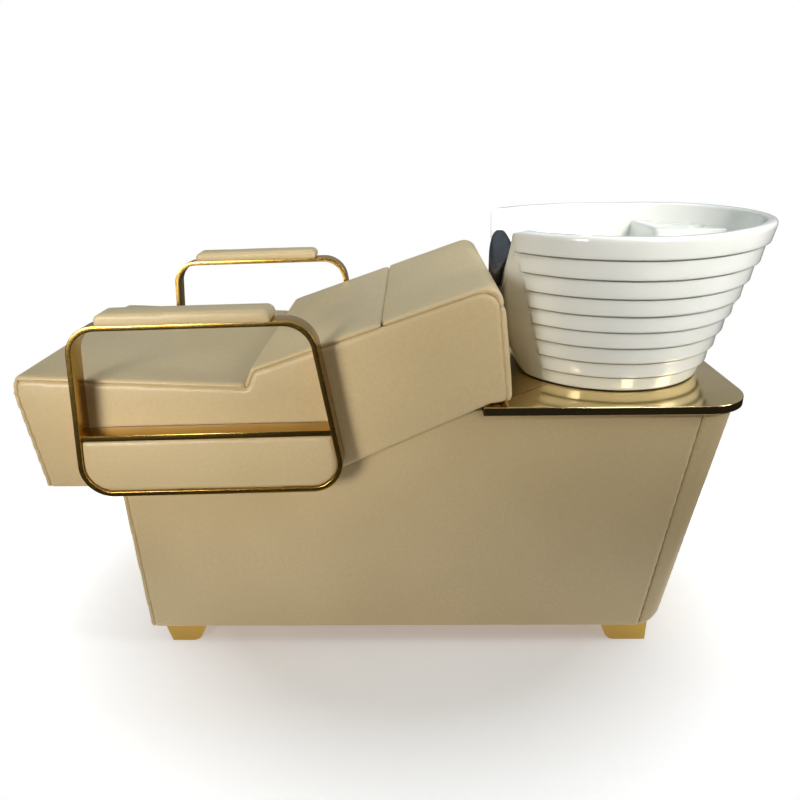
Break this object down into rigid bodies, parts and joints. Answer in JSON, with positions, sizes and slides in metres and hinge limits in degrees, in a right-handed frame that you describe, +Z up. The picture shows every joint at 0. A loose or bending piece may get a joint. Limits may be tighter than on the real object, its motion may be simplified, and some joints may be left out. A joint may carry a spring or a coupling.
{
  "type": "shampoo backwash unit",
  "caption": "Salon backwash unit: reclined upholstered seat with looped armrests on a plinth, gold deck and stepped ceramic hair-washing basin with neck rest.",
  "frame": {"origin": "centre of the bounding box, on the floor", "axes": "+X from the sitter's feet towards the basin, +Y to the sitter's right, +Z up"},
  "size_m": [1.497, 0.69, 0.902],
  "materials": {
    "leather": "smooth champagne-beige imitation leather over foam",
    "gold_steel": "polished and brushed gold-plated stainless steel",
    "ceramic": "gloss white glaze",
    "wood": "bare plywood",
    "liner": "black non-woven lining",
    "gel_rubber": "satin black gel rubber",
    "chrome": "polished",
    "pipe_plastic": "moulded white plastic",
    "fixing_steel": "zinc-plated"
  },
  "bodies": {
    "unit": {"seat_cushion": "leather", "back_cushion_lower": "leather", "back_cushion_upper": "leather", "seat_front_cover": "leather", "back_end_cover": "leather", "base_front_panel": "leather", "seat_board": "wood", "back_board": "wood", "seat_front_board": "wood", "back_end_board": "wood", "seat_rear_rail": "wood", "back_lower_rail": "wood", "base_bottom_board": "wood", "base_bulkhead": "wood", "rear_top_rail": "wood", "deck_board": "wood", "seat_bottom_liner": "liner", "back_bottom_liner": "liner", "deck_plate": "gold_steel", "basin": "ceramic", "basin_gasket": "gel_rubber", "waste_flange": "chrome", "waste_locknut": "pipe_plastic", "trap_body": "pipe_plastic", "waste_pipe": "pipe_plastic", "chair_side_cover_left": "leather", "base_side_panel_left": "leather", "arm_infill_panel_left": "leather", "arm_pad_left": "leather", "chair_side_board_left": "wood", "deck_cleat_left": "wood", "leg_front_left": "gold_steel", "leg_rear_left": "gold_steel", "arm_loop_left": "gold_steel", "arm_mid_bar_left": "gold_steel", "magnet_catch_left": "fixing_steel", "arm_bolt_left_1": "fixing_steel", "arm_bolt_left_2": "fixing_steel", "pad_screw_left_1": "fixing_steel", "pad_screw_left_2": "fixing_steel", "chair_side_cover_right": "leather", "base_side_panel_right": "leather", "arm_infill_panel_right": "leather", "arm_pad_right": "leather", "chair_side_board_right": "wood", "deck_cleat_right": "wood", "leg_front_right": "gold_steel", "leg_rear_right": "gold_steel", "arm_loop_right": "gold_steel", "arm_mid_bar_right": "gold_steel", "magnet_catch_right": "fixing_steel", "arm_bolt_right_1": "fixing_steel", "arm_bolt_right_2": "fixing_steel", "pad_screw_right_1": "fixing_steel", "pad_screw_right_2": "fixing_steel"},
    "neck_rest": {"neck_rest": "gel_rubber"},
    "hair_strainer": {"hair_strainer": "chrome"},
    "rear_panel": {"base_rear_cover": "leather", "base_rear_board": "wood"}
  },
  "joints": [
    {"name": "neck_rest_lift", "type": "slide", "parent": "unit", "child": "neck_rest", "axis": [0, 0, 1], "range_m": [0, 0.12]},
    {"name": "hair_strainer_lift", "type": "slide", "parent": "unit", "child": "hair_strainer", "axis": [0, 0, 1], "range_m": [0, 0.2]},
    {"name": "rear_panel_pull", "type": "slide", "parent": "unit", "child": "rear_panel", "axis": [1, 0, 0], "range_m": [0, 0.25]}
  ]
}
